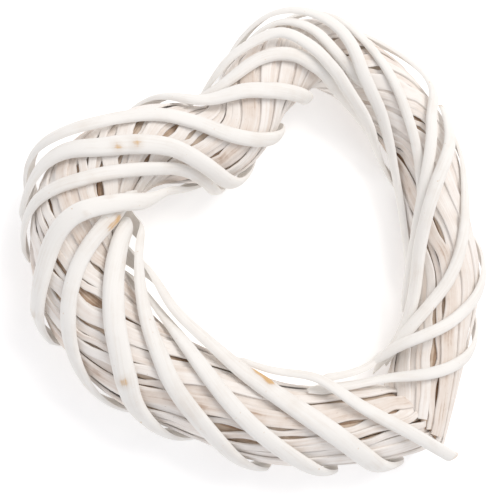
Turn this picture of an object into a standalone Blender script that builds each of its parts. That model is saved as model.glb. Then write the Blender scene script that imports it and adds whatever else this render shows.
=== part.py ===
"""A whitewashed wicker heart wreath, lying flat: a ring of flat willow splints bent to a
heart, with long split rods wound around it.  Metres, +Z up, the heart's tip towards -Y.
The origin is on the floor, below the middle of the heart's box.
"""

import bpy
import numpy as np

MM = 0.001

# The heart's middle line: how far it reaches to each side, and its whole length (mm).  It
# runs from the tip round the right lobe, the notch and the left lobe, in shares of these two.
HALF_WIDTH = 84.0
HEART_LENGTH = 157.0
HEART_LINE = (
    (0, -0.605), (0.355, -0.483), (0.65, -0.361), (0.85, -0.173), (1, 0.018), (0.96, 0.226),
    (0.739, 0.397), (0.364, 0.392), (0, 0.325), (-0.357, 0.415), (-0.738, 0.395),
    (-0.98, 0.229), (-1, 0.018), (-0.84, -0.171), (-0.628, -0.35), (-0.349, -0.48), (0, -0.605),
)
STATIONS = 528         # even places round the heart, at which its middle line is kept
TIP_BLEND = 20.0       # the bundle turns its mitre at the tip over this length each side
LEFT_SWELL = 0.055     # the left lobe is bound thicker by this share, the right one thinner

# The splint bundle: an outer layer, and an under layer that shows through its gaps (mm).
# Its splints twist against the rods: by these degrees at each quarter of the way round.
BUNDLE_RADIUS = 16.2
SPLINT_THICK = 1.2
LAYER_GAP = 1.2
OUTER_SPLINTS = 10
OUTER_SPLINT_WIDTH = 7.4
UNDER_SPLINTS = 6
UNDER_SPLINT_WIDTH = 10.0
BUNDLE_TWIST = (0, 120, 405, 680, 780)
TIP_GAP = 0.5
SPLINT_RINGS = 42

# The wound rods are split willow, flat side in.  Each is laid over what is there already.
ROD_SECTION = ((-0.5, 0), (0.5, 0), (0.36, 0.72), (0, 1), (-0.36, 0.72))  # widths, thicknesses
ROD_THICKNESS = 0.38   # as a share of a rod's width
ROD_STEP = 11.0        # mm between a rod's rings
CLEARANCE = 0.45       # mm kept between a rod and what it lies on
TAUTNESS = 0.15        # share of a hollow that a rod bridges at each settling
SETTLES = 10
STEEPEST_REST = 0.1    # largest slope sought between the heart's own plane and the floor
REST_FLAT = 1.2        # mm taken off the lowest rods, so that the heart lies still

OUTER_COLOUR = (0.72, 0.63, 0.55)
UNDER_COLOUR = (0.62, 0.50, 0.41)
ROD_COLOUR = (0.80, 0.77, 0.73)
ROUGHNESS = 0.7

# How finely the laying measures: degrees of clock angle, samples along a path, samples over
# a strip's skin, and rounds in the search for how the heart lies.
CLOCK_CELL = 4
OUTLINE_FINENESS = 8
PATH_SAMPLES = 600
SKIN_ACROSS = 7
SPLINT_SKIN_ALONG = 15
ROD_SKIN_ALONG = 9
REST_TRIES = 120
REST_ROUNDS = 70
REST_NARROWING = 0.85

# Each rod, in the order of laying: its widths at its two ends (mm), then the places that it
# passes.  A place is a station, the share of the way round the heart from the tip, right side
# first, and a clock angle, which falls as the rod winds on: 270 is the underside, 180 the
# heart's inner edge, 90 the top, 0 the outer edge.  A third number holds the rod that far off.
WOUND_RODS = (
    (9.2, 6.6, (
        (0.634, 168), (0.662, 141), (0.69, 122), (0.713, 102), (0.75, 67), (0.777, 27),
        (0.797, 2), (0.83, -50), (0.87, -95),
    )),
    (6.2, 5.6, (
        (0.602, 146), (0.616, 139), (0.636, 127), (0.66, 106), (0.682, 80), (0.707, 51),
        (0.727, 27), (0.748, 2), (0.78, -40), (0.82, -85),
    )),
    (4.8, 5.0, (
        (0.32, 134), (0.345, 126), (0.365, 114), (0.38, 97), (0.39, 68), (0.4, 35),
        (0.415, 0), (0.43, -28),
    )),
    (5.0, 7.4, (
        (0.125, 196), (0.155, 191), (0.19, 185), (0.247, 173), (0.3, 143), (0.335, 122),
        (0.358, 95), (0.375, 63), (0.395, 25), (0.425, -25), (0.483, -95), (0.53, -150),
        (0.548, -178), (0.567, -193), (0.587, -203), (0.609, -216), (0.633, -243),
        (0.648, -275), (0.67, -307), (0.69, -333), (0.705, -365), (0.72, -395),
    )),
    (4.4, 5.6, (
        (0.18, 145), (0.21, 137), (0.24, 131), (0.27, 121), (0.302, 103), (0.333, 80),
        (0.355, 57), (0.37, 30), (0.39, -10), (0.42, -50), (0.475, -100), (0.503, -135),
        (0.515, -165), (0.522, -190), (0.532, -209), (0.546, -219), (0.57, -229),
        (0.598, -248), (0.62, -273), (0.633, -303), (0.642, -335), (0.655, -362), (0.67, -388),
    )),
    (4.6, 8.0, (
        (0.085, 192), (0.12, 183), (0.15, 168), (0.193, 138),
        (0.235, 114), (0.262, 88), (0.281, 50, 3.5), (0.31, 28, 2.0), (0.34, 5), (0.37, -35),
        (0.41, -75), (0.452, -112), (0.483, -145), (0.497, -170), (0.506, -189), (0.516, -210),
        (0.529, -230), (0.546, -244), (0.566, -257), (0.585, -272), (0.603, -293),
        (0.615, -325), (0.63, -357), (0.65, -388),
    )),
    (6.6, 5.6, (
        (1.035, -162), (1.055, -184), (1.08, -196), (1.127, -203), (1.163, -216),
        (1.21, -249), (1.242, -282), (1.262, -315),
    )),
    (5.6, 5.0, (
        (1.012, -158), (1.04, -186), (1.065, -210), (1.095, -228), (1.13, -252),
        (1.165, -279), (1.195, -300), (1.225, -322), (1.25, -350), (1.262, -375),
    )),
    (5.2, 5.0, (
        (0.893, 139), (0.92, 147), (0.95, 155), (0.98, 158), (1.005, 150), (1.026, 121),
        (1.043, 88), (1.062, 54), (1.082, 25), (1.105, -10), (1.125, -38),
    )),
    (5.8, 6.6, (
        (0.265, 208), (0.285, 197), (0.323, 176), (0.37, 151), (0.395, 127),
        (0.412, 94), (0.43, 66), (0.452, 50), (0.48, 28), (0.51, -5), (0.55, -60),
        (0.59, -120), (0.63, -175), (0.665, -204), (0.7, -213), (0.735, -234), (0.763, -258),
        (0.787, -285), (0.815, -309), (0.842, -333), (0.868, -364), (0.885, -390),
    )),
    (5.0, 5.6, (
        (0.905, 152), (0.935, 162), (0.96, 172), (0.985, 182), (1.01, 184), (1.033, 171),
        (1.048, 148), (1.065, 122), (1.09, 90), (1.112, 62), (1.132, 38), (1.155, 5),
        (1.18, -40), (1.21, -100), (1.245, -158), (1.29, -191), (1.33, -209), (1.365, -224),
        (1.388, -241), (1.403, -270), (1.415, -305), (1.44, -328), (1.465, -350), (1.485, -382),
    )),
    (5.4, 5.4, (
        (0.825, 168), (0.85, 156), (0.885, 147), (0.92, 123), (0.955, 96), (0.978, 75),
        (0.991, 55, 1.5), (0.999, 36, 6.0),
    )),
    (6.0, 6.6, (
        (0.447, 205), (0.457, 184), (0.467, 162), (0.48, 136), (0.497, 107), (0.517, 85),
        (0.55, 67), (0.58, 49), (0.602, 36), (0.615, 8), (0.632, -35), (0.655, -80),
        (0.68, -130), (0.712, -178), (0.755, -206), (0.785, -237), (0.812, -262), (0.84, -282),
        (0.868, -301), (0.893, -322), (0.915, -350), (0.935, -385),
    )),
    (6.2, 8.4, (
        (0.39, 218), (0.402, 190), (0.415, 165), (0.43, 143), (0.45, 107), (0.47, 70),
        (0.49, 48), (0.515, 42), (0.532, 30), (0.545, -5), (0.562, -50), (0.595, -95),
        (0.64, -135), (0.68, -172), (0.71, -192), (0.75, -205), (0.79, -214), (0.83, -229),
        (0.863, -242), (0.895, -264), (0.92, -288), (0.94, -311), (0.958, -338), (0.973, -366),
        (0.985, -390),
    )),
)


def through(points, places):
    """The smooth curve through points, read at places counted in points."""
    known = np.asarray(points, float)
    known = np.concatenate([[2 * known[0] - known[1]], known, [2 * known[-1] - known[-2]]])
    first = np.clip(np.floor(places).astype(int), 0, len(known) - 4)
    share = places - first
    if known.ndim > 1:
        share = share[:, None]
    a, b, c, d = (known[first + i] for i in range(4))
    return b + 0.5 * share * (
        (c - a) + share * (2 * a - 5 * b + 4 * c - d + share * (3 * (b - c) + d - a))
    )


def unit(vectors):
    return vectors / np.linalg.norm(vectors, axis=-1, keepdims=True)


def heart_axis():
    """The middle line at even stations, its outward normals, and those turned to a mitre."""
    outline = np.array(HEART_LINE) * (HALF_WIDTH, HEART_LENGTH)
    fine = through(outline, np.linspace(0, len(outline) - 1, OUTLINE_FINENESS * STATIONS))
    travelled = np.concatenate([[0], np.cumsum(np.linalg.norm(np.diff(fine, axis=0), axis=1))])
    even = (np.arange(STATIONS) + 0.5) / STATIONS * travelled[-1]
    axis = np.stack([np.interp(even, travelled, fine[:, i]) for i in (0, 1)], axis=1)
    along = unit(np.roll(axis, -1, axis=0) - np.roll(axis, 1, axis=0))
    normal = np.stack([along[:, 1], -along[:, 0]], axis=1)
    reach = int(TIP_BLEND / travelled[-1] * STATIONS)
    window = range(-reach, reach + 1)
    turned = unit(sum(np.roll(normal, i, axis=0) for i in window))
    mitre = turned / (turned * normal).sum(axis=1, keepdims=True)
    return axis, normal, mitre, travelled[-1]


AXIS, NORMAL, MITRE, AROUND = heart_axis()
LOBE_REACH = AXIS[:, 0].max()
PLACES = (np.arange(STATIONS) + 0.5) / STATIONS
CELLS = 360 // CLOCK_CELL


def on_bundle(station, clock, radius):
    """Points at a station and clock angle, radius mm from the middle line."""
    read = [np.interp(station, PLACES, column, period=1) for column in (*AXIS.T, *MITRE.T)]
    angle = np.radians(clock)
    swell = 1 - LEFT_SWELL * read[0] / LOBE_REACH
    out = radius * swell * np.cos(angle)
    return np.stack(
        [read[0] + out * read[2], read[1] + out * read[3], radius * swell * np.sin(angle)],
        axis=-1,
    )


def polar(points):
    """For each point: the nearest station's index, its clock cell and its radius."""
    away = points[:, None, :2] - AXIS[None]
    near = (away**2).sum(axis=2).argmin(axis=1)
    away = points[:, :2] - AXIS[near]
    flat = np.linalg.norm(away, axis=1)
    side = np.where((away * NORMAL[near]).sum(axis=1) < 0, -flat, flat)
    clock = np.degrees(np.arctan2(points[:, 2], side))
    return near, (clock // CLOCK_CELL).astype(int) % CELLS, np.hypot(flat, points[:, 2])


def spread(left, right, steps):
    """Points over the skin between two corner rows: lines along it, then both diagonals."""
    share = np.linspace(0, 1, steps)[:, None, None]
    edges = [row[:-1] + (row[1:] - row[:-1]) * share for row in (left, right)]
    lines = [edges[0] + (edges[1] - edges[0]) * across for across in np.linspace(0, 1, SKIN_ACROSS)]
    lines += [a[:-1] + (b[1:] - a[:-1]) * share for a, b in ((left, right), (right, left))]
    return np.stack(lines)


def raise_tops(tops, points):
    """Notes in tops how far out these points reach."""
    station, clock, radius = polar(points.reshape(-1, 3))
    for i in (-1, 0, 1):
        for j in (-1, 0, 1):
            np.maximum.at(tops, ((station + i) % STATIONS, (clock + j) % CELLS), radius)


def add_body(name, rings, colour, roughness):
    """One closed mesh through rings of points, in its own Principled material."""
    count, sides = rings.shape[:2]
    points = rings.reshape(-1, 3)
    faces = [list(range(sides - 1, -1, -1)), [(count - 1) * sides + i for i in range(sides)]]
    for ring in range(count - 1):
        for i in range(sides):
            a, b = ring * sides + i, ring * sides + (i + 1) % sides
            c, d = b + sides, a + sides
            if np.linalg.norm(points[a] - points[c]) < np.linalg.norm(points[b] - points[d]):
                faces += [[a, b, c], [a, c, d]]
            else:
                faces += [[a, b, d], [b, c, d]]
    mesh = bpy.data.meshes.new(name)
    mesh.from_pydata((points * MM).tolist(), [], faces)
    material = bpy.data.materials.new(name)
    material.use_nodes = True
    shader = material.node_tree.nodes["Principled BSDF"]
    shader.inputs["Base Color"].default_value = (*colour, 1)
    shader.inputs["Roughness"].default_value = roughness
    shader.inputs["Metallic"].default_value = 0
    mesh.materials.append(material)
    body = bpy.data.objects.new(name, mesh)
    bpy.context.scene.collection.objects.link(body)
    return body


def even_steps(station, clock, *others, steps):
    """The same run of values, read at even steps along the path that they make."""
    points = on_bundle(station, clock, BUNDLE_RADIUS)
    run = np.concatenate([[0], np.cumsum(np.linalg.norm(np.diff(points, axis=0), axis=1))])
    even = np.linspace(0, run[-1], steps or int(run[-1] / ROD_STEP) + 1)
    return [np.interp(even, run, values) for values in (station, clock, *others)]


def splint_rings(middle, width, outer_radius):
    """A flat strip round the whole heart, its two ends meeting at the tip."""
    station = np.linspace(TIP_GAP / AROUND, 1 - TIP_GAP / AROUND, PATH_SAMPLES)
    station, clock = even_steps(station, through(BUNDLE_TWIST, station * 4), steps=SPLINT_RINGS)
    half = np.degrees(width / 2 / outer_radius)
    corners = []
    for side, depth in ((-1, SPLINT_THICK), (1, SPLINT_THICK), (1, 0), (-1, 0)):
        corners.append(on_bundle(station, middle + clock + side * half, outer_radius - depth))
    return np.stack(corners, axis=1)


def rod_path(widths, places):
    """Stations, clock angles, widths and lifts at even steps along a rod."""
    knots = [(*place, 0)[:3] for place in places]
    along = np.linspace(0, len(knots) - 1, PATH_SAMPLES)
    station, clock, lift = through(knots, along).T
    width = np.linspace(*widths, len(along))
    return even_steps(np.maximum.accumulate(station), clock, width, lift, steps=None)


def rod_rings(station, clock, radius, width):
    """Sections of a half-round rod, flat side in, at the given radii."""
    middle = on_bundle(station, clock, radius)
    outward = unit(on_bundle(station, clock, radius + 1) - middle)
    along = unit(np.gradient(middle, axis=0))
    across = unit(np.cross(outward, along))
    outward = np.cross(along, across)
    thick = ROD_THICKNESS * width
    rings = [
        middle + (x * width)[:, None] * across + (y * thick)[:, None] * outward
        for x, y in ROD_SECTION
    ]
    return np.stack(rings, axis=1)


def settle(station, clock, width, lift, tops):
    """The radius at each ring that carries a rod over all that lies under it."""
    radius = BUNDLE_RADIUS + CLEARANCE + np.maximum(lift, 0)
    axis = on_bundle(station, clock, 0 * radius)
    share = np.linspace(0, 1, ROD_SKIN_ALONG)
    pull = (np.stack([1 - share, share]) / ((1 - share) ** 2 + share**2))[:, None, :, None]
    for _ in range(SETTLES):
        middle = on_bundle(station, clock, radius)
        taut = np.linalg.norm((middle[:-2] + middle[2:]) / 2 - axis[1:-1], axis=1)
        own = np.linalg.norm((middle - axis)[1:-1], axis=1)
        radius[1:-1] += np.maximum(taut - own, 0) * TAUTNESS
        rings = rod_rings(station, clock, radius, width)
        under = spread(rings[:, 0], rings[:, 1], len(share))
        where, cell, reached = polar(under.reshape(-1, 3))
        short = (tops[where, cell] + CLEARANCE - reached).reshape(under.shape[:3])
        near, far = np.maximum(short * pull, 0).max(axis=(1, 2))
        radius += np.maximum(np.append(near, 0), np.insert(far, 0, 0))
    return radius


def lay_heart():
    """Name, rings and colour of every piece, in the order in which they are laid."""
    pieces = []
    tops = np.zeros((STATIONS, CELLS))
    for i in range(OUTER_SPLINTS):
        rings = splint_rings(360 * i / OUTER_SPLINTS, OUTER_SPLINT_WIDTH, BUNDLE_RADIUS)
        raise_tops(tops, spread(rings[:, 2], rings[:, 3], SPLINT_SKIN_ALONG))
        pieces.append((f"splint_{i + 1}", rings, OUTER_COLOUR))
    under_radius = BUNDLE_RADIUS - SPLINT_THICK - LAYER_GAP
    for i in range(UNDER_SPLINTS):
        rings = splint_rings(360 * i / UNDER_SPLINTS, UNDER_SPLINT_WIDTH, under_radius)
        pieces.append((f"under_splint_{i + 1}", rings, UNDER_COLOUR))
    for number, (start, end, places) in enumerate(WOUND_RODS):
        station, clock, width, lift = rod_path((start, end), places)
        radius = settle(station, clock, width, lift, tops)
        rings = rod_rings(station, clock, radius, width)
        for a, b in ((1, 2), (2, 3), (3, 4), (4, 0)):
            raise_tops(tops, spread(rings[:, a], rings[:, b], ROD_SKIN_ALONG))
        pieces.append((f"wound_rod_{number + 1}", rings, ROD_COLOUR))
    return pieces


def mass_middle(pieces):
    """The middle of the pieces' mass, seen from above."""
    moment, mass = np.zeros(2), 0
    for _, rings, _ in pieces:
        middle = rings.mean(axis=1)
        spokes = rings - middle[:, None]
        area = np.cross(spokes, np.roll(spokes, -1, axis=1)).sum(axis=1)
        bulk = np.linalg.norm(area, axis=1) * np.linalg.norm(np.gradient(middle, axis=0), axis=1)
        moment, mass = moment + bulk @ middle[:, :2], mass + bulk.sum()
    return moment / mass


def rest_frame(points, middle):
    """Axes of the heart as it lies: its own, turned so that its three lowest places are level."""
    flat = points[:, :2] - middle
    turn = np.linspace(0, 2 * np.pi, REST_TRIES, endpoint=False)
    tries = np.append(np.stack([np.cos(turn), np.sin(turn)], axis=1), [[0, 0]], axis=0)
    slope = np.zeros(2)
    for narrowed in range(REST_ROUNDS):
        slopes = slope + STEEPEST_REST * REST_NARROWING**narrowed * tries
        held = (points[:, 2, None] - flat @ slopes.T).min(axis=0)
        slope = slopes[held.argmax()]
    up = unit(np.array([-slope[0], -slope[1], 1]))
    across = unit(np.array([1, 0, slope[0]]))
    return np.stack([across, np.cross(up, across), up])


def build():
    for old in list(bpy.data.objects):
        bpy.data.objects.remove(old, do_unlink=True)
    pieces = lay_heart()
    points = np.concatenate([rings.reshape(-1, 3) for _, rings, _ in pieces])
    axes = rest_frame(points, mass_middle(pieces))
    points = points @ axes.T
    middle = (points.min(axis=0) + points.max(axis=0)) / 2
    floor = points[:, 2].min() + REST_FLAT
    for name, rings, colour in pieces:
        turned = rings @ axes.T
        turned[:, :, 2] = np.maximum(turned[:, :, 2], floor)
        add_body(name, turned - (middle[0], middle[1], floor), colour, ROUGHNESS)


build()
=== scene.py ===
"""The looks of a whitewashed wicker heart that lies on a pale floor.

A bundle of flat willow splints is bent to a heart and wound round with split rods.  The
lengths here are in millimetres until a mesh is placed, because that is how such a heart is
measured; the frame's own axes and metres are reached through to_frame.
"""

import bmesh
import bpy
import numpy as np
from mathutils import Matrix, Vector


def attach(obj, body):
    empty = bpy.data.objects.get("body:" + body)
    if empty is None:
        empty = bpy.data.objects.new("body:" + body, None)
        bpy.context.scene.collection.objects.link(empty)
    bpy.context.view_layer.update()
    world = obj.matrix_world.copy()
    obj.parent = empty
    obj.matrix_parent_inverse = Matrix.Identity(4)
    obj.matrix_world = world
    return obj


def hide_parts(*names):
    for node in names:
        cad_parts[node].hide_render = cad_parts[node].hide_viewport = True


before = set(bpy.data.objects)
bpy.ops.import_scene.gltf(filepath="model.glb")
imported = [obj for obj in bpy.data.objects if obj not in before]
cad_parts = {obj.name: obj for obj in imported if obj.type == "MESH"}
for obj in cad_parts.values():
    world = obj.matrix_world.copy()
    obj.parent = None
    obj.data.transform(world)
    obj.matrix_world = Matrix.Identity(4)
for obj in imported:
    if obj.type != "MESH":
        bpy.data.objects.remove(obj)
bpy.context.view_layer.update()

# The heart's line.
# The bundle follows a heart with a sharp tip and a soft notch, its two halves a little unlike.
# A place on it is a station, the share of the way round from the tip, right side first, and
# a clock angle: 0 at the outer edge, 90 on top, 180 at the inner edge, 270 underneath.
MM = 0.001
HALF_WIDTH = 84.0
HEART_LENGTH = 157.0
HEART_LINE = (
    (0, -0.605), (0.355, -0.483), (0.65, -0.361), (0.85, -0.173), (1, 0.018), (0.96, 0.226),
    (0.739, 0.397), (0.364, 0.392), (0, 0.325), (-0.357, 0.415), (-0.738, 0.395),
    (-0.98, 0.229), (-1, 0.018), (-0.84, -0.171), (-0.628, -0.35), (-0.349, -0.48), (0, -0.605),
)
STATIONS = 528
OUTLINE_FINENESS = 8
# The mitre at the tip is spread over this much of the line.
TIP_BLEND = 20.0
# The left lobe is thicker than the middle by this share, and the right lobe thinner.
LEFT_SWELL = 0.055


def through(points, places):
    """The smooth curve through points, read at places counted in points."""
    known = np.asarray(points, float)
    known = np.concatenate([[2 * known[0] - known[1]], known, [2 * known[-1] - known[-2]]])
    first = np.clip(np.floor(places).astype(int), 0, len(known) - 4)
    share = places - first
    if known.ndim > 1:
        share = share[:, None]
    a, b, c, d = (known[first + i] for i in range(4))
    return b + 0.5 * share * (
        (c - a) + share * (2 * a - 5 * b + 4 * c - d + share * (3 * (b - c) + d - a))
    )


def unit(vectors):
    """The same vectors, each 1 long."""
    return vectors / np.linalg.norm(vectors, axis=-1, keepdims=True)


def heart_axis():
    """The middle line at even stations, its outward normals, and those turned to a mitre."""
    outline = np.array(HEART_LINE) * (HALF_WIDTH, HEART_LENGTH)
    fine = through(outline, np.linspace(0, len(outline) - 1, OUTLINE_FINENESS * STATIONS))
    travelled = np.concatenate([[0], np.cumsum(np.linalg.norm(np.diff(fine, axis=0), axis=1))])
    even = (np.arange(STATIONS) + 0.5) / STATIONS * travelled[-1]
    axis = np.stack([np.interp(even, travelled, fine[:, i]) for i in (0, 1)], axis=1)
    along = unit(np.roll(axis, -1, axis=0) - np.roll(axis, 1, axis=0))
    normal = np.stack([along[:, 1], -along[:, 0]], axis=1)
    reach = int(TIP_BLEND / travelled[-1] * STATIONS)
    window = range(-reach, reach + 1)
    turned = unit(sum(np.roll(normal, i, axis=0) for i in window))
    mitre = turned / (turned * normal).sum(axis=1, keepdims=True)
    return axis, normal, mitre, travelled[-1]


AXIS, NORMAL, MITRE, AROUND = heart_axis()
LOBE_REACH = AXIS[:, 0].max()
PLACES = (np.arange(STATIONS) + 0.5) / STATIONS


def on_bundle(station, clock, radius):
    """Points at a station and clock angle, radius mm from the middle line."""
    read = [np.interp(station, PLACES, column, period=1) for column in (*AXIS.T, *MITRE.T)]
    angle = np.radians(clock)
    swell = 1 - LEFT_SWELL * read[0] / LOBE_REACH
    out = radius * swell * np.cos(angle)
    return np.stack(
        [read[0] + out * read[2], read[1] + out * read[3], radius * swell * np.sin(angle)],
        axis=-1,
    )


# How the heart is bound.
# Ten splints lie side by side round the bundle, six more show below them, and fourteen rods are
# wound over all of it one after another.  Each rod bends over what is there already, so the
# rods are laid here in the order and to the heights that the solids have.
BUNDLE_RADIUS = 16.2
SPLINT_THICK = 1.2
LAYER_GAP = 1.2
OUTER_SPLINTS = 10
OUTER_SPLINT_WIDTH = 7.4
UNDER_SPLINTS = 6
UNDER_SPLINT_WIDTH = 10.0
# How far round the bundle a splint has turned after each quarter of its way, in degrees.
BUNDLE_TWIST = (0, 120, 405, 680, 780)
TIP_GAP = 0.5
SPLINT_RINGS = 42
# A rod's section: shares of its width across, then of its thickness outwards.
ROD_SECTION = ((-0.5, 0), (0.5, 0), (0.36, 0.72), (0, 1), (-0.36, 0.72))
ROD_THICKNESS = 0.38
ROD_STEP = 11.0
# A rod lies this far clear of what it crosses, and each round of settling pulls it straighter.
CLEARANCE = 0.45
TAUTNESS = 0.15
SETTLES = 10
PATH_SAMPLES = 600
# How far out the heart reaches is noted by station and by cell of the clock.
CLOCK_CELL = 4
CELLS = 360 // CLOCK_CELL
SKIN_ACROSS = 7
SPLINT_SKIN_ALONG = 15
ROD_SKIN_ALONG = 9
# The slopes at which the heart might rest are tried in rings that narrow, and its lowest
# places are pressed flat by REST_FLAT at most.
STEEPEST_REST = 0.1
REST_TRIES = 120
REST_ROUNDS = 70
REST_NARROWING = 0.85
REST_FLAT = 1.2

# Widths at both ends, then the places passed: station, clock angle, and how far it is held off.
WOUND_RODS = (
    (9.2, 6.6, (
        (0.634, 168), (0.662, 141), (0.69, 122), (0.713, 102), (0.75, 67), (0.777, 27),
        (0.797, 2), (0.83, -50), (0.87, -95),
    )),
    (6.2, 5.6, (
        (0.602, 146), (0.616, 139), (0.636, 127), (0.66, 106), (0.682, 80), (0.707, 51),
        (0.727, 27), (0.748, 2), (0.78, -40), (0.82, -85),
    )),
    (4.8, 5.0, (
        (0.32, 134), (0.345, 126), (0.365, 114), (0.38, 97), (0.39, 68), (0.4, 35),
        (0.415, 0), (0.43, -28),
    )),
    (5.0, 7.4, (
        (0.125, 196), (0.155, 191), (0.19, 185), (0.247, 173), (0.3, 143), (0.335, 122),
        (0.358, 95), (0.375, 63), (0.395, 25), (0.425, -25), (0.483, -95), (0.53, -150),
        (0.548, -178), (0.567, -193), (0.587, -203), (0.609, -216), (0.633, -243),
        (0.648, -275), (0.67, -307), (0.69, -333), (0.705, -365), (0.72, -395),
    )),
    (4.4, 5.6, (
        (0.18, 145), (0.21, 137), (0.24, 131), (0.27, 121), (0.302, 103), (0.333, 80),
        (0.355, 57), (0.37, 30), (0.39, -10), (0.42, -50), (0.475, -100), (0.503, -135),
        (0.515, -165), (0.522, -190), (0.532, -209), (0.546, -219), (0.57, -229),
        (0.598, -248), (0.62, -273), (0.633, -303), (0.642, -335), (0.655, -362), (0.67, -388),
    )),
    (4.6, 8.0, (
        (0.085, 192), (0.12, 183), (0.15, 168), (0.193, 138),
        (0.235, 114), (0.262, 88), (0.281, 50, 3.5), (0.31, 28, 2.0), (0.34, 5), (0.37, -35),
        (0.41, -75), (0.452, -112), (0.483, -145), (0.497, -170), (0.506, -189), (0.516, -210),
        (0.529, -230), (0.546, -244), (0.566, -257), (0.585, -272), (0.603, -293),
        (0.615, -325), (0.63, -357), (0.65, -388),
    )),
    (6.6, 5.6, (
        (1.035, -162), (1.055, -184), (1.08, -196), (1.127, -203), (1.163, -216),
        (1.21, -249), (1.242, -282), (1.262, -315),
    )),
    (5.6, 5.0, (
        (1.012, -158), (1.04, -186), (1.065, -210), (1.095, -228), (1.13, -252),
        (1.165, -279), (1.195, -300), (1.225, -322), (1.25, -350), (1.262, -375),
    )),
    (5.2, 5.0, (
        (0.893, 139), (0.92, 147), (0.95, 155), (0.98, 158), (1.005, 150), (1.026, 121),
        (1.043, 88), (1.062, 54), (1.082, 25), (1.105, -10), (1.125, -38),
    )),
    (5.8, 6.6, (
        (0.265, 208), (0.285, 197), (0.323, 176), (0.37, 151), (0.395, 127),
        (0.412, 94), (0.43, 66), (0.452, 50), (0.48, 28), (0.51, -5), (0.55, -60),
        (0.59, -120), (0.63, -175), (0.665, -204), (0.7, -213), (0.735, -234), (0.763, -258),
        (0.787, -285), (0.815, -309), (0.842, -333), (0.868, -364), (0.885, -390),
    )),
    (5.0, 5.6, (
        (0.905, 152), (0.935, 162), (0.96, 172), (0.985, 182), (1.01, 184), (1.033, 171),
        (1.048, 148), (1.065, 122), (1.09, 90), (1.112, 62), (1.132, 38), (1.155, 5),
        (1.18, -40), (1.21, -100), (1.245, -158), (1.29, -191), (1.33, -209), (1.365, -224),
        (1.388, -241), (1.403, -270), (1.415, -305), (1.44, -328), (1.465, -350), (1.485, -382),
    )),
    (5.4, 5.4, (
        (0.825, 168), (0.85, 156), (0.885, 147), (0.92, 123), (0.955, 96), (0.978, 75),
        (0.991, 55, 1.5), (0.999, 36, 6.0),
    )),
    (6.0, 6.6, (
        (0.447, 205), (0.457, 184), (0.467, 162), (0.48, 136), (0.497, 107), (0.517, 85),
        (0.55, 67), (0.58, 49), (0.602, 36), (0.615, 8), (0.632, -35), (0.655, -80),
        (0.68, -130), (0.712, -178), (0.755, -206), (0.785, -237), (0.812, -262), (0.84, -282),
        (0.868, -301), (0.893, -322), (0.915, -350), (0.935, -385),
    )),
    (6.2, 8.4, (
        (0.39, 218), (0.402, 190), (0.415, 165), (0.43, 143), (0.45, 107), (0.47, 70),
        (0.49, 48), (0.515, 42), (0.532, 30), (0.545, -5), (0.562, -50), (0.595, -95),
        (0.64, -135), (0.68, -172), (0.71, -192), (0.75, -205), (0.79, -214), (0.83, -229),
        (0.863, -242), (0.895, -264), (0.92, -288), (0.94, -311), (0.958, -338), (0.973, -366),
        (0.985, -390),
    )),
)


def polar(points):
    """For each point: the nearest station's index, its clock cell and its radius."""
    away = points[:, None, :2] - AXIS[None]
    near = (away**2).sum(axis=2).argmin(axis=1)
    away = points[:, :2] - AXIS[near]
    flat = np.linalg.norm(away, axis=1)
    side = np.where((away * NORMAL[near]).sum(axis=1) < 0, -flat, flat)
    clock = np.degrees(np.arctan2(points[:, 2], side))
    return near, (clock // CLOCK_CELL).astype(int) % CELLS, np.hypot(flat, points[:, 2])


def spread(left, right, steps):
    """Points over the skin between two corner rows: lines along it, then both diagonals."""
    share = np.linspace(0, 1, steps)[:, None, None]
    edges = [row[:-1] + (row[1:] - row[:-1]) * share for row in (left, right)]
    lines = [edges[0] + (edges[1] - edges[0]) * across
             for across in np.linspace(0, 1, SKIN_ACROSS)]
    lines += [a[:-1] + (b[1:] - a[:-1]) * share for a, b in ((left, right), (right, left))]
    return np.stack(lines)


def raise_tops(tops, points):
    """Notes in tops how far out these points reach."""
    station, clock, radius = polar(points.reshape(-1, 3))
    for i in (-1, 0, 1):
        for j in (-1, 0, 1):
            np.maximum.at(tops, ((station + i) % STATIONS, (clock + j) % CELLS), radius)


def even_steps(station, clock, *others, steps):
    """The same run of values, read at even steps along the path that they make."""
    points = on_bundle(station, clock, BUNDLE_RADIUS)
    run = np.concatenate([[0], np.cumsum(np.linalg.norm(np.diff(points, axis=0), axis=1))])
    even = np.linspace(0, run[-1], steps or int(run[-1] / ROD_STEP) + 1)
    return [np.interp(even, run, values) for values in (station, clock, *others)]


def splint_path(steps):
    """Stations and clock angles at even steps along a splint."""
    station = np.linspace(TIP_GAP / AROUND, 1 - TIP_GAP / AROUND, PATH_SAMPLES)
    twist = through(BUNDLE_TWIST, station * (len(BUNDLE_TWIST) - 1))
    return even_steps(station, twist, steps=steps)


def splint_rings(middle, width, outer_radius):
    """A flat strip round the whole heart, its two ends meeting at the tip."""
    station, clock = splint_path(SPLINT_RINGS)
    half = np.degrees(width / 2 / outer_radius)
    corners = []
    for side, depth in ((-1, SPLINT_THICK), (1, SPLINT_THICK), (1, 0), (-1, 0)):
        corners.append(on_bundle(station, middle + clock + side * half, outer_radius - depth))
    return np.stack(corners, axis=1)


def rod_path(widths, places):
    """Stations, clock angles, widths and lifts at even steps along a rod."""
    knots = [(*place, 0)[:3] for place in places]
    along = np.linspace(0, len(knots) - 1, PATH_SAMPLES)
    station, clock, lift = through(knots, along).T
    width = np.linspace(*widths, len(along))
    return even_steps(np.maximum.accumulate(station), clock, width, lift, steps=None)


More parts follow.
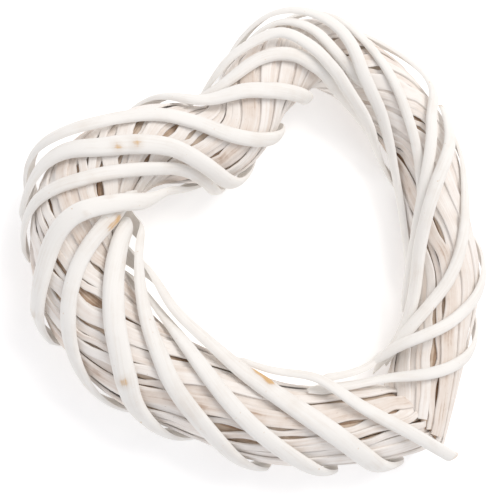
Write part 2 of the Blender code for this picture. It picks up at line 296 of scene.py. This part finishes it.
def rings_about(middle, outward, width, thick, section, bank=0.0):
    """Sections of a strip, its inner side on the given middle line, as rings of points.

    bank is how far each is rolled about its own length, in degrees.
    """
    along = unit(np.gradient(middle, axis=0))
    across = unit(np.cross(outward, along))
    outward = np.cross(along, across)
    roll = np.radians(bank + np.zeros(len(middle)))[:, None]
    across, outward = (np.cos(roll) * across + np.sin(roll) * outward,
                       np.cos(roll) * outward - np.sin(roll) * across)
    rings = [
        middle + (x * width)[:, None] * across + (y * thick)[:, None] * outward
        for x, y in section
    ]
    return np.stack(rings, axis=1)


def strip_rings(station, clock, radius, width, thick, section, bank=0.0):
    """Sections of a strip, inner side at the given radii, as rings of points."""
    middle = on_bundle(station, clock, radius)
    outward = unit(on_bundle(station, clock, radius + 1) - middle)
    return rings_about(middle, outward, width, thick, section, bank)


def settle(station, clock, width, lift, tops):
    """The radius at each ring that carries a rod over all that lies under it."""
    radius = BUNDLE_RADIUS + CLEARANCE + np.maximum(lift, 0)
    axis = on_bundle(station, clock, 0 * radius)
    share = np.linspace(0, 1, ROD_SKIN_ALONG)
    pull = (np.stack([1 - share, share]) / ((1 - share) ** 2 + share**2))[:, None, :, None]
    for _ in range(SETTLES):
        middle = on_bundle(station, clock, radius)
        taut = np.linalg.norm((middle[:-2] + middle[2:]) / 2 - axis[1:-1], axis=1)
        own = np.linalg.norm((middle - axis)[1:-1], axis=1)
        radius[1:-1] += np.maximum(taut - own, 0) * TAUTNESS
        rings = strip_rings(station, clock, radius, width, ROD_THICKNESS * width, ROD_SECTION)
        under = spread(rings[:, 0], rings[:, 1], len(share))
        where, cell, reached = polar(under.reshape(-1, 3))
        short = (tops[where, cell] + CLEARANCE - reached).reshape(under.shape[:3])
        near, far = np.maximum(short * pull, 0).max(axis=(1, 2))
        radius += np.maximum(np.append(near, 0), np.insert(far, 0, 0))
    return radius


def mass_middle(pieces):
    """The middle of the pieces' mass, seen from above."""
    moment, mass = np.zeros(2), 0
    for rings in pieces:
        middle = rings.mean(axis=1)
        spokes = rings - middle[:, None]
        area = np.cross(spokes, np.roll(spokes, -1, axis=1)).sum(axis=1)
        bulk = np.linalg.norm(area, axis=1) * np.linalg.norm(np.gradient(middle, axis=0), axis=1)
        moment, mass = moment + bulk @ middle[:, :2], mass + bulk.sum()
    return moment / mass


def rest_frame(points, middle):
    """Axes of the heart as it lies: its own, turned so that its three lowest places are level."""
    flat = points[:, :2] - middle
    turn = np.linspace(0, 2 * np.pi, REST_TRIES, endpoint=False)
    tries = np.append(np.stack([np.cos(turn), np.sin(turn)], axis=1), [[0, 0]], axis=0)
    slope = np.zeros(2)
    for narrowed in range(REST_ROUNDS):
        slopes = slope + STEEPEST_REST * REST_NARROWING**narrowed * tries
        held = (points[:, 2, None] - flat @ slopes.T).min(axis=0)
        slope = slopes[held.argmax()]
    up = unit(np.array([-slope[0], -slope[1], 1]))
    across = unit(np.array([1, 0, slope[0]]))
    return np.stack([across, np.cross(up, across), up])


tops = np.zeros((STATIONS, CELLS))
solids = []
for i in range(OUTER_SPLINTS):
    rings = splint_rings(360 * i / OUTER_SPLINTS, OUTER_SPLINT_WIDTH, BUNDLE_RADIUS)
    raise_tops(tops, spread(rings[:, 2], rings[:, 3], SPLINT_SKIN_ALONG))
    solids.append(rings)
under_radius = BUNDLE_RADIUS - SPLINT_THICK - LAYER_GAP
for i in range(UNDER_SPLINTS):
    solids.append(splint_rings(360 * i / UNDER_SPLINTS, UNDER_SPLINT_WIDTH, under_radius))
rod_lays = []
for start, end, places in WOUND_RODS:
    station, clock, width, lift = rod_path((start, end), places)
    radius = settle(station, clock, width, lift, tops)
    rings = strip_rings(station, clock, radius, width, ROD_THICKNESS * width, ROD_SECTION)
    for a, b in ((1, 2), (2, 3), (3, 4), (4, 0)):
        raise_tops(tops, spread(rings[:, a], rings[:, b], ROD_SKIN_ALONG))
    solids.append(rings)
    rod_lays.append(np.stack([station, clock, radius, width], axis=1))

solid_points = np.concatenate([rings.reshape(-1, 3) for rings in solids])
rest_axes = rest_frame(solid_points, mass_middle(solids))
rested = solid_points @ rest_axes.T
rest_middle = (rested.min(axis=0) + rested.max(axis=0)) / 2
rest_middle[2] = rested[:, 2].min() + REST_FLAT


def to_frame(points):
    """Points of the heart, in mm, as they lie in the frame, in metres and above the floor."""
    lying = (points @ rest_axes.T - rest_middle) * MM
    lying[..., 2] = np.maximum(lying[..., 2], 0)
    return lying


# The under splints.
# They are the bundle's inner layer: split willow that the whitewash hardly reached, so it
# shows brown between the outer splints.  They run the whole way round, twisted as one.
rng = np.random.default_rng(seed=11)


def linear(hex_colour):
    """A #RRGGBB colour as linear red, green, blue and alpha."""
    shares = [int(hex_colour[i:i + 2], 16) / 255 for i in (1, 3, 5)]
    return (*[s / 12.92 if s <= 0.04045 else ((s + 0.055) / 1.055) ** 2.4 for s in shares], 1)


def add_node(material, kind, inputs, **settings):
    """Adds one node.  Each input is a value or another node's output socket."""
    tree = material.node_tree
    node = tree.nodes.new(kind)
    for name, value in settings.items():
        setattr(node, name, value)
    for name, value in inputs.items():
        if isinstance(value, bpy.types.NodeSocket):
            tree.links.new(value, node.inputs[name])
        else:
            node.inputs[name].default_value = value
    return node


# How much a strip's own tone, and a bare place on it, add to the wear of its wash.
TONE_WEAR = 0.5
BARE_WEAR = 1.1


def limewashed_willow(name, paint, thin_paint, wood, pith, cover, edge_wear_and_highlight):
    """Split willow brushed with a thin chalky wash, streaked and worn with the grain.

    paint and thin_paint are the wash where it is thick and thin, and wood and pith the colours
    of the grain below it.  cover is how well the wash hides them, and edge_wear_and_highlight
    how much more the edges are worn, or below 0 how much paler the wash is kept along them, a
    painted highlight.  The eye gets a dry, chalky white over warm streaks, with hardly any
    gloss.
    """
    material = bpy.data.materials.new(name)
    material.use_nodes = True
    shader = material.node_tree.nodes["Principled BSDF"]
    place = add_node(material, "ShaderNodeUVMap", {}, uv_map="grain")
    tone = add_node(material, "ShaderNodeAttribute", {}, attribute_name="tone")
    edge = add_node(material, "ShaderNodeAttribute", {}, attribute_name="edge")
    bare = add_node(material, "ShaderNodeAttribute", {}, attribute_name="bare")
    where = add_node(material, "ShaderNodeTexCoord", {})
    # Fibres 0.9 mm apart and 28 mm long.  Real ones are finer, and wouldn't show here.
    fibre_place = add_node(material, "ShaderNodeMapping", {
        "Vector": place.outputs["UV"], "Scale": (1 / 0.0009, 1 / 0.028, 1)})
    fibre = add_node(material, "ShaderNodeTexNoise", {
        "Vector": fibre_place.outputs["Vector"], "Scale": 1.0, "Detail": 5.0, "Roughness": 0.62})
    # Brush marks and thin places, 11 mm across and less.
    patch = add_node(material, "ShaderNodeTexNoise", {
        "Vector": where.outputs["Object"], "Scale": 1 / 0.011, "Detail": 4.0, "Roughness": 0.6})
    worn = add_node(material, "ShaderNodeMath", {
        0: fibre.outputs["Fac"], 1: patch.outputs["Fac"]}, operation="ADD")
    # The edges add wear, or below 0 keep the wash paler there as a painted highlight.
    worn = add_node(material, "ShaderNodeMath", {
        0: edge.outputs["Fac"], 1: edge_wear_and_highlight, 2: worn.outputs[0]}, operation="MULTIPLY_ADD")
    worn = add_node(material, "ShaderNodeMath", {
        0: tone.outputs["Fac"], 1: TONE_WEAR, 2: worn.outputs[0]}, operation="MULTIPLY_ADD")
    worn = add_node(material, "ShaderNodeMath", {
        0: bare.outputs["Fac"], 1: BARE_WEAR, 2: worn.outputs[0]}, operation="MULTIPLY_ADD")
    # First the wash goes thin, then it is lost and the grain shows.
    thin = add_node(material, "ShaderNodeMapRange", {
        "Value": worn.outputs[0], "From Min": 0.62 + 0.5 * cover, "From Max": 1.25 + 0.6 * cover})
    lost = add_node(material, "ShaderNodeMapRange", {
        "Value": worn.outputs[0], "From Min": 1.0 + 0.7 * cover, "From Max": 1.3 + 0.75 * cover})
    grain = add_node(material, "ShaderNodeMix", {
        "Factor": fibre.outputs["Fac"], "A": linear(pith), "B": linear(wood)}, data_type="RGBA")
    washed = add_node(material, "ShaderNodeMix", {
        "Factor": thin.outputs["Result"], "A": linear(paint), "B": linear(thin_paint)},
        data_type="RGBA")
    # Specks under 1 mm across, where the wash skipped a pore.
    pores = add_node(material, "ShaderNodeTexNoise", {
        "Vector": where.outputs["Object"], "Scale": 1 / 0.0017, "Detail": 1.0})
    speck = add_node(material, "ShaderNodeMapRange", {
        "Value": pores.outputs["Fac"], "From Min": 0.745, "From Max": 0.84, "To Max": 0.5})
    lost = add_node(material, "ShaderNodeMath", {
        0: lost.outputs["Result"], 1: speck.outputs["Result"]}, operation="MAXIMUM")
    colour = add_node(material, "ShaderNodeMix", {
        "Factor": lost.outputs[0], "A": washed.outputs["Result"],
        "B": grain.outputs["Result"]}, data_type="RGBA")
    bump = add_node(material, "ShaderNodeBump", {
        "Height": worn.outputs[0], "Strength": 0.35, "Distance": 0.0004})
    tree = material.node_tree
    tree.links.new(colour.outputs["Result"], shader.inputs["Base Color"])
    tree.links.new(bump.outputs["Normal"], shader.inputs["Normal"])
    shader.inputs["Roughness"].default_value = 0.72
    shader.inputs["Specular IOR Level"].default_value = 0.3
    return material


# Each strip's grain starts at a place of its own, and only its edges count as edges.
GRAIN_SHIFT = 1000
EDGE_FALL = 4


def add_strip(strips, rings, section, tone, bare=None):
    """Adds one strip to a bmesh, through rings of points, with its grain's own map.

    tone says how worn the whole strip is, and bare how far the wash is off at each point.
    """
    count, sides = rings.shape[:2]
    grain = strips.loops.layers.uv.get("grain") or strips.loops.layers.uv.new("grain")
    layers = strips.verts.layers.float
    tones, edges, bares = (layers.get(n) or layers.new(n) for n in ("tone", "edge", "bare"))
    made = bmesh.ops.create_grid(strips, x_segments=sides, y_segments=count - 1, size=0.5)
    around = np.linalg.norm(np.diff(rings[:, [*range(sides), 0]], axis=1), axis=2).mean(axis=0)
    around = np.concatenate([[0], np.cumsum(around)]) * MM
    middle = rings.mean(axis=1)
    along = np.linalg.norm(np.diff(middle, axis=0), axis=1)
    along = (np.concatenate([[0], np.cumsum(along)]) + GRAIN_SHIFT * tone) * MM
    points = to_frame(rings)
    mapped = {}
    for vertex in made["verts"]:
        column = round((vertex.co.x + 0.5) * sides)
        row = round((vertex.co.y + 0.5) * (count - 1))
        vertex.co = points[row, column % sides]
        vertex[tones] = tone
        vertex[edges] = (2 * abs(section[column % sides][0])) ** EDGE_FALL
        vertex[bares] = 0 if bare is None else bare[row, column % sides]
        mapped[vertex] = (around[column], along[row])
    for vertex in made["verts"]:
        for loop in vertex.link_loops:
            loop[grain].uv = mapped[vertex]


SEAM = 1e-7
SHARP_ANGLE = 62


def finish_strips(strips, name, material, node):
    """Closes the strips' seams and ends, and puts them in place of the solid that they dress."""
    bmesh.ops.remove_doubles(strips, verts=strips.verts, dist=SEAM)
    open_edges = [edge for edge in strips.edges if edge.is_boundary]
    bmesh.ops.holes_fill(strips, edges=open_edges, sides=0)
    bmesh.ops.recalc_face_normals(strips, faces=strips.faces)
    mesh = bpy.data.meshes.new(name)
    strips.to_mesh(mesh)
    strips.free()
    mesh.shade_smooth()
    mesh.set_sharp_from_angle(angle=np.radians(SHARP_ANGLE))
    mesh.materials.append(material)
    piece = bpy.data.objects.new(name, mesh)
    bpy.context.scene.collection.objects.link(piece)
    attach(piece, "root")
    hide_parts(node)


# The drift's waves in one way round the heart.  The shorter ones are the smaller.
DRIFT_WAVES = (2.3, 5.1, 9.7, 17.0)
DRIFT_FALL = 0.6


def wander(station, size):
    """A slow, irregular drift along a strip, in the units of size."""
    drift = np.zeros(len(station))
    for waves in DRIFT_WAVES:
        drift += np.sin(2 * np.pi * (waves * station + rng.random())) / waves**DRIFT_FALL
    return size * drift


# A split strip's section, in the same shares as a rod's.  The first points are its inner side.
INNER_POINTS = 4
SPLIT_SECTION = [
    (-0.5, 0.2), (-0.47, 0.0), (0.47, 0.0), (0.5, 0.2), (0.5, 0.85), (0.475, 0.98),
    (0.3, 1.03), (0.0, 1.06), (-0.3, 1.03), (-0.475, 0.98), (-0.5, 0.85),
]
SPLINT_STEPS = 210
# Past the tip the strips run on by two steps, less at the outer side, and dip as they go.
PAST_TIP = (3.0, 3.0)
OUTER_CUT = 0.6
AIM = 8
FIRST_DIP = 0.15
LAST_DIP = 0.4
# From this station on the left limb's strips sink by this much to pass under the right one's.
TUCK_FROM = 0.962
TUCK = 3.2


def run_past(rings):
    """The strip run on past both its ends.  At the tip its last end lies under the first ones."""
    rings = rings[1:-1]
    for past in PAST_TIP:
        ends = []
        for end, before, dip in (
            (rings[0], rings[AIM], FIRST_DIP), (rings[-1], rings[-1 - AIM], LAST_DIP),
        ):
            ahead = unit(end.mean(axis=0) - before.mean(axis=0))
            inward = unit(end[:INNER_POINTS].mean(axis=0) - end[INNER_POINTS:].mean(axis=0))
            outer = (end.mean(axis=0)[:2] - AXIS[0]) @ unit(MITRE[0]) / BUNDLE_RADIUS
            reach = past * (1 - OUTER_CUT * np.clip(outer, 0, 1))
            ends.append(end + ahead * reach + inward * dip * reach)
        rings = np.concatenate([ends[:1], rings, ends[1:]])
    return rings


def tucked(station):
    """How far the left limb's strips sink as they come to the tip."""
    return TUCK * np.clip((station - TUCK_FROM) / (1 - TUCK_FROM), 0, 1) ** 2


# Bare split willow with a little wash caught in it: a warm brown, darkest along its edges.
brown_willow = limewashed_willow(
    "bare_split_willow", "#DFCFBE", "#BFA58C", "#A17D5F", "#6E523F", 0.4, 0.25)
# Each under splint's bands: off its middle, and width.
UNDER_BANDS = ((-5.0, 4.4), (-1.5, 3.4), (1.9, 4.0), (5.3, 3.6))
UNDER_THICK = 0.9
UNDER_LIFT = 0.1
# The radius at which a way aside counts as a turn round the bundle.
UNDER_ARC = 14
# How far all split strips bank, in degrees, and how far these drift aside, outwards and in width.
SPLIT_BANK = 5
UNDER_DRIFT, UNDER_RIPPLE, UNDER_UNEVEN = 0.7, 0.15, 0.3
for i in range(UNDER_SPLINTS):
    strips = bmesh.new()
    station, twist = splint_path(SPLINT_STEPS)
    for offset, width in UNDER_BANDS:
        aside = (offset + wander(station, UNDER_DRIFT)) / UNDER_ARC
        clock = 360 * i / UNDER_SPLINTS + twist + np.degrees(aside)
        radius = (under_radius - SPLINT_THICK + UNDER_LIFT + wander(station, UNDER_RIPPLE)
                  - tucked(station))
        rings = strip_rings(
            station, clock, radius, width + wander(station, UNDER_UNEVEN),
            np.full(len(station), UNDER_THICK), SPLIT_SECTION, wander(station, SPLIT_BANK))
        add_strip(strips, run_past(rings), SPLIT_SECTION, rng.random())
    finish_strips(strips, f"under_splint_strips_{i + 1}", brown_willow,
                  f"under_splint_{i + 1}")

# The outer splints.
# Each is a band of willow split again into narrow strips.  Some lie on top and some a
# thickness lower, and they drift, so that their joints open and close.

# Thin limewash: a pinkish white, brown where the grain shows.  Along the strips' edges the wash
# is kept paler, a painted highlight.
pale_willow = limewashed_willow(
    "thin_limewash_on_split_willow", "#F2ECE6", "#D6C3B3", "#B08C70", "#7E5E46", 0.74, -0.25)
# Each splint's bands: off its middle, width, and how far it lies below the outermost.
SPLIT_IN = (
    ((-0.9, 5.6, 0.0), (3.5, 4.8, -1.15)),
    ((-2.3, 2.9, -0.15), (0.8, 3.0, 0.0), (4.0, 4.4, -1.2)),
    ((-0.5, 6.4, -0.1), (4.3, 4.0, -1.2)),
    ((-1.8, 3.9, 0.0), (1.6, 2.5, -0.25), (4.3, 5.0, -1.3)),
    ((-0.7, 5.9, -0.2), (3.7, 3.4, -1.15)),
    ((-2.5, 2.7, 0.0), (0.7, 3.5, -0.1), (4.1, 5.0, -1.2)),
    ((-0.9, 5.2, -0.1), (3.4, 5.2, -1.2)),
    ((-2.1, 3.5, -0.25), (1.3, 3.1, 0.0), (4.6, 4.0, -1.25)),
    ((-0.3, 6.7, 0.0), (4.6, 4.4, -1.15)),
    ((-2.4, 3.0, -0.1), (0.8, 3.3, -0.25), (3.9, 4.4, -1.3)),
)
# Places where the bands stand apart: station, clock angle, how far along and how wide (mm).
OPENINGS = (
    (0.593, 50, 5, 1.2), (0.575, 65, 7, 2.2), (0.615, 65, 5, 1.8), (0.605, 92, 7, 2.0),
    (0.575, 127, 8, 1.6), (0.623, 107, 7, 1.8), (0.647, 42, 8, 1.0), (0.642, 127, 6, 1.8),
    (0.665, 15, 10, 1.2), (0.693, 42, 8, 1.4), (0.705, 85, 9, 1.4), (0.682, 107, 7, 1.4),
    (0.725, 52, 9, 1.5), (0.728, 72, 8, 1.2), (0.765, 65, 7, 1.2), (0.797, 15, 12, 1.8),
    (0.838, 47, 14, 2.2), (0.873, 75, 9, 1.0), (0.92, 2, 12, 1.2), (0.535, 92, 9, 1.5),
    (0.512, 126, 5, 1.2), (0.395, 120, 6, 1.2), (0.372, 90, 4, 1.2), (0.357, 112, 5, 1.2),
    (0.345, 80, 6, 1.3), (0.325, 92, 5, 1.3), (0.29, 80, 6, 1.4), (0.263, 110, 9, 2.0),
    (0.25, 165, 7, 1.5), (0.158, 127, 12, 1.8), (0.095, 115, 9, 1.0), (0.077, 130, 6, 0.9),
    (0.048, 112, 6, 1.0), (0.968, 112, 6, 1.4), (0.993, 94, 6, 2.0), (0.028, 85, 9, 1.2),
    (0.927, 95, 9, 1.6), (0.945, 72, 8, 1.4),
)
# How far to both sides an opening pushes the bands, how soft its middle is, and how far out it
# counts as open.  A band below LOW lies a layer down, where it drifts and narrows more.
PUSHED, OPEN_EDGE, OPENED = 6, 1.5, 4
LOW = -1
LOW_DRIFT, TOP_DRIFT = 1.2, 0.25
LOW_NARROWS, TOP_NARROWS = 0.6, 0.12
NARROWEST = 1.2
SPLIT_THICK = 1.0
SPLINT_DRIFT, SPLINT_RIPPLE = 0.9, 0.1


def stood_apart(station, clock):
    """The clock angles with bands pushed clear of the openings, and how open it is there."""
    push, openness = np.zeros(len(station)), np.zeros(len(station))
    for at_station, at_clock, reach, wide in OPENINGS:
        round_by = (station - at_station + 0.5) % 1 - 0.5
        aside = np.radians((clock - at_clock + 180) % 360 - 180) * BUNDLE_RADIUS
        near = np.exp(-(round_by * AROUND / reach) ** 2)
        push += wide * near * np.exp(-(aside / PUSHED) ** 2) * np.tanh(aside / OPEN_EDGE)
        openness = np.maximum(openness, near * np.exp(-(aside / OPENED) ** 2))
    return clock + np.degrees(push / BUNDLE_RADIUS), openness


for i, bands in enumerate(SPLIT_IN):
    strips = bmesh.new()
    station, twist = splint_path(SPLINT_STEPS)
    together = wander(station, SPLINT_DRIFT)
    for offset, width, sunk in bands:
        loose, narrows = (LOW_DRIFT, LOW_NARROWS) if sunk < LOW else (TOP_DRIFT, TOP_NARROWS)
        drift = offset + together + wander(station, loose)
        clock = 360 * i / OUTER_SPLINTS + twist + np.degrees(drift / BUNDLE_RADIUS)
        clock, openness = stood_apart(station, clock)
        wide = (width + wander(station, loose)) * (1 - openness * narrows)
        radius = (BUNDLE_RADIUS - SPLINT_THICK + sunk + wander(station, SPLINT_RIPPLE)
                  - tucked(station))
        rings = strip_rings(
            station, clock, radius, np.maximum(wide, NARROWEST),
            np.full(len(station), SPLIT_THICK), SPLIT_SECTION, wander(station, SPLIT_BANK))
        add_strip(strips, run_past(rings), SPLIT_SECTION, rng.random())
    finish_strips(strips, f"splint_strips_{i + 1}", pale_willow,
                  f"splint_{i + 1}")

# The wound rods.
# Long willow rods split in half and wound round the bundle, flat side in.  They took most of
# the wash, so they are nearly white, with a few bare knots and rubbed places.
FINER = 9
# The section of a split rod, in the same shares: round outside, with a flat and softened inside.
ROUND_SECTION = [
    (0.5, 0.0), (0.5, 0.3), (0.48, 0.52), (0.4, 0.74), (0.27, 0.9), (0.1, 0.99), (-0.06, 1.0),
    (-0.22, 0.94), (-0.37, 0.78), (-0.47, 0.53), (-0.5, 0.3), (-0.5, 0.0), (-0.25, -0.03),
    (0.25, -0.03),
]
# Knots and rubbed places: station, clock angle, how far they reach (mm) and how bare they are.
KNOTS = (
    (0.5935, 84, 2.2, 0.8), (0.581, 92, 2.4, 0.7), (0.631, 104, 2.6, 0.7), (0.650, 88, 1.6, 1.0),
    (0.700, 10, 1.8, 1.0), (0.690, 133, 2.2, 0.7), (0.758, 55, 2.6, 1.0), (0.843, 136, 3.6, 1.1),
    (0.852, 127, 2.8, 1.0), (0.868, 32, 2.0, 0.9), (0.655, 116, 3.2, 0.72),
    (0.645, 124, 2.8, 0.72),
)
# How far the rod swells at them, against how far they reach, and what that adds to its size.
SWELL_REACH, SWELL_UP, SWELL_WIDE = 1.2, 0.16, 0.05
# These two rods end in full view, cut aslant.  Hidden ends are pared thin over PARED mm.
CUT_ENDS = (7, 12)
SLANT = 0.5
CUT_BARE = 0.7
PARED = 5.0
PARED_TO = 0.4
# A stiff rod can't turn as sharply as the heart's tip, so each turn is spread over some points
# to both sides, over more of them near the tip, where the rod also rises a little.
BEND_WINDOW = 4
TIP_WINDOW = 17
TIP_REACH = 40.0
TIP_FALL = 4
TIP_RISE = 0.9
TIP_SKIP = 2.5
# How unevenly the rods run, in shares of their size and in degrees of turn and bank, and how
# far their tones differ.
ROD_UNEVEN_UP, ROD_UNEVEN_WIDE = 0.03, 0.025
ROD_DRIFT, ROD_BANK = 0.7, 2.5
ROD_TONES = 0.3


def eased(values):
    """Values along a rod with their sudden steps rounded off, as stiff willow takes them."""
    padded = np.pad(values, FINER, mode="edge")
    bell = np.hanning(2 * FINER + 3)[1:-1]
    return np.convolve(padded, bell / bell.sum(), mode="valid")


def bent(line, reach):
    """The line with each turn spread over this many of its points to both sides."""
    padded = np.pad(line, ((reach, reach), (0, 0)), mode="reflect", reflect_type="odd")
    bell = np.hanning(2 * reach + 3)[1:-1]
    return sum(share * padded[i:i + len(line)] for i, share in enumerate(bell / bell.sum()))


# Thick limewash on a smooth willow rod: chalky near-white, ochre where a knot is rubbed bare.
white_willow = limewashed_willow(
    "limewash_on_willow_rod", "#F0EDE8", "#DDD3C8", "#DDB57C", "#B98A58", 0.84, 0.0)
for i, lay in enumerate(rod_lays):
    strips = bmesh.new()
    places = np.linspace(0, len(lay) - 1, FINER * (len(lay) - 1) + 1)
    station, clock, radius, width = through(lay, places).T
    radius = eased(radius)
    middle = on_bundle(station, clock, radius)
    cut = i + 1 in CUT_ENDS

    # It swells at its knots, and its hidden ends are pared.
    swelling = np.zeros(len(station))
    for at_station, at_clock, reach, _ in KNOTS:
        knot = on_bundle(at_station, at_clock, radius)
        swelling += np.exp(-(np.linalg.norm(middle - knot, axis=1) / reach / SWELL_REACH) ** 2)
    swelling = np.minimum(swelling, 1)
    step = np.arange(len(station)) * ROD_STEP / FINER
    from_end = step if cut else np.minimum(step, step[::-1])
    pared = PARED_TO + (1 - PARED_TO) * np.minimum(from_end / PARED, 1)
    thick = ROD_THICKNESS * width * (
        1 + wander(station, ROD_UNEVEN_UP) + SWELL_UP * swelling)
    width = width * (1 + wander(station, ROD_UNEVEN_WIDE) + SWELL_WIDE * swelling)
    from_tip = np.linalg.norm(middle[:, :2] - AXIS[0], axis=1)
    at_tip = np.exp(-(from_tip / TIP_REACH) ** TIP_FALL)
    radius = radius + TIP_RISE * at_tip * np.maximum(np.sin(np.radians(clock)), 0)
    clock = clock + wander(station, ROD_DRIFT)
    line = on_bundle(station, clock, radius)
    outward = unit(on_bundle(station, clock, radius + 1) - line)

    # Its line leaves out the very tip, is read again at even steps, and is bent.
    clear = np.abs((station + 0.5) % 1 - 0.5) > TIP_SKIP / AROUND
    clear |= cut
    line, outward = line[clear], outward[clear]
    run = np.concatenate([[0], np.cumsum(np.linalg.norm(np.diff(line, axis=0), axis=1))])
    even = np.linspace(0, run[-1], len(clear))
    line, outward = (np.stack([np.interp(even, run, column) for column in columns.T], axis=1)
                     for columns in (line, outward))
    width, thick, at_tip = (
        np.interp(even, run, values[clear]) for values in (width, thick, at_tip))
    line, outward = (
        bent(columns, BEND_WINDOW) * (1 - at_tip[:, None])
        + bent(columns, TIP_WINDOW) * at_tip[:, None] for columns in (line, outward))
    rings = rings_about(line, outward, width * pared, thick * pared, ROUND_SECTION,
                        wander(station, ROD_BANK))

    # The wash is off at its knots and at a cut end.
    bare = np.zeros(rings.shape[:2])
    reached = polar(rings.reshape(-1, 3))[2].reshape(bare.shape)
    for at_station, at_clock, reach, bareness in KNOTS:
        knot = on_bundle(at_station, at_clock, reached)
        bare += bareness * np.exp(-(np.linalg.norm(rings - knot, axis=2) / reach) ** 2)
    if cut:
        ahead = unit(rings[-1].mean(axis=0) - rings[-3].mean(axis=0))
        slant = np.array([x for x, _ in ROUND_SECTION]) * width[-1] * SLANT
        rings[-1] += slant[:, None] * ahead
        bare[-1] = CUT_BARE
    add_strip(strips, rings, ROUND_SECTION, ROD_TONES * rng.random(), bare)
    finish_strips(strips, f"rod_{i + 1}", white_willow, f"wound_rod_{i + 1}")

# The floor and the studio.
# A plain white board under a bright, soft sky, with one broad lamp at the upper right of the
# picture.  The board glows a little, as a light table does, so the shade on it stays faint.
# Half the board's side, in metres.
FLOOR_REACH = 4.0
floor_mesh = bmesh.new()
bmesh.ops.create_grid(floor_mesh, x_segments=1, y_segments=1, size=FLOOR_REACH)
floor_data = bpy.data.meshes.new("floor")
floor_mesh.to_mesh(floor_data)
floor_mesh.free()
floor = bpy.data.objects.new("floor", floor_data)
bpy.context.scene.collection.objects.link(floor)
floor_paint = bpy.data.materials.new("matt_white_floor")
floor_paint.use_nodes = True
board = floor_paint.node_tree.nodes["Principled BSDF"].inputs
board["Base Color"].default_value = linear("#FFFFFF")
board["Roughness"].default_value = 0.9
board["Emission Color"].default_value = linear("#FFFFFF")
board["Emission Strength"].default_value = 0.25
floor_data.materials.append(floor_paint)

world = bpy.data.worlds.new("studio_sky")
world.use_nodes = True
sky = world.node_tree.nodes["Background"].inputs
sky["Color"].default_value = linear("#FBFBFF")
sky["Strength"].default_value = 0.7
bpy.context.scene.world = world
# The photograph is exposed brightly: a gamma above 1 lifts the shade between the splints.
bpy.context.scene.view_settings.view_transform = "Standard"
bpy.context.scene.view_settings.gamma = 1.22

# The camera looks down on the heart, turned so that the tip points to the lower right.
PHOTO_SIDE = 500
CAMERA_AZIMUTH = -100.214
CAMERA_ELEVATION = 64.007
CAMERA_ROLL = 64.877
CAMERA_DISTANCE = 356.2
FOCAL_PIXELS = 833.81
PICTURE_MIDDLE = (289.45, 239.64)
azimuth, elevation, roll = np.radians([CAMERA_AZIMUTH, CAMERA_ELEVATION, CAMERA_ROLL])
back = np.array([np.sin(azimuth) * np.cos(elevation), -np.cos(azimuth) * np.cos(elevation),
                 np.sin(elevation)])
level = np.array([np.cos(azimuth), np.sin(azimuth), 0])
upright = np.cross(back, level)
right = np.cos(roll) * level + np.sin(roll) * upright
up = -np.sin(roll) * level + np.cos(roll) * upright
camera_data = bpy.data.cameras.new("photo_camera")
camera_data.sensor_width = 36
camera_data.lens = FOCAL_PIXELS / PHOTO_SIDE * camera_data.sensor_width
camera_data.shift_x = (PHOTO_SIDE / 2 - PICTURE_MIDDLE[0]) / PHOTO_SIDE
camera_data.shift_y = -(PHOTO_SIDE / 2 - PICTURE_MIDDLE[1]) / PHOTO_SIDE
camera_data.clip_start = 0.01
camera = bpy.data.objects.new("photo_camera", camera_data)
turn = np.stack([right @ rest_axes.T, up @ rest_axes.T, back @ rest_axes.T], axis=1)
eye = (back * CAMERA_DISTANCE @ rest_axes.T - rest_middle) * MM
camera.matrix_world = Matrix.Translation(Vector(eye)) @ Matrix(turn.tolist()).to_4x4()
bpy.context.scene.collection.objects.link(camera)
bpy.context.scene.camera = camera


def add_lamp(name, toward, distance, size, watts, hex_colour):
    """A square soft box, its distance and size in metres.

    toward is its direction from the heart: shares to the picture's right, up and nearer.
    """
    lamp_data = bpy.data.lights.new(name, "AREA")
    lamp_data.size = size
    lamp_data.energy = watts
    lamp_data.color = linear(hex_colour)[:3]
    lamp = bpy.data.objects.new(name, lamp_data)
    away = unit(np.array(toward, float) @ np.stack([right, up, back]) @ rest_axes.T)
    lamp.location = Vector(away * distance)
    lamp.rotation_mode = "QUATERNION"
    lamp.rotation_quaternion = Vector(away).to_track_quat("Z", "Y")
    bpy.context.scene.collection.objects.link(lamp)


add_lamp("key_soft_box", (0.75, 0.75, 0.9), 0.9, 0.5, 4.2, "#FFF9F2")
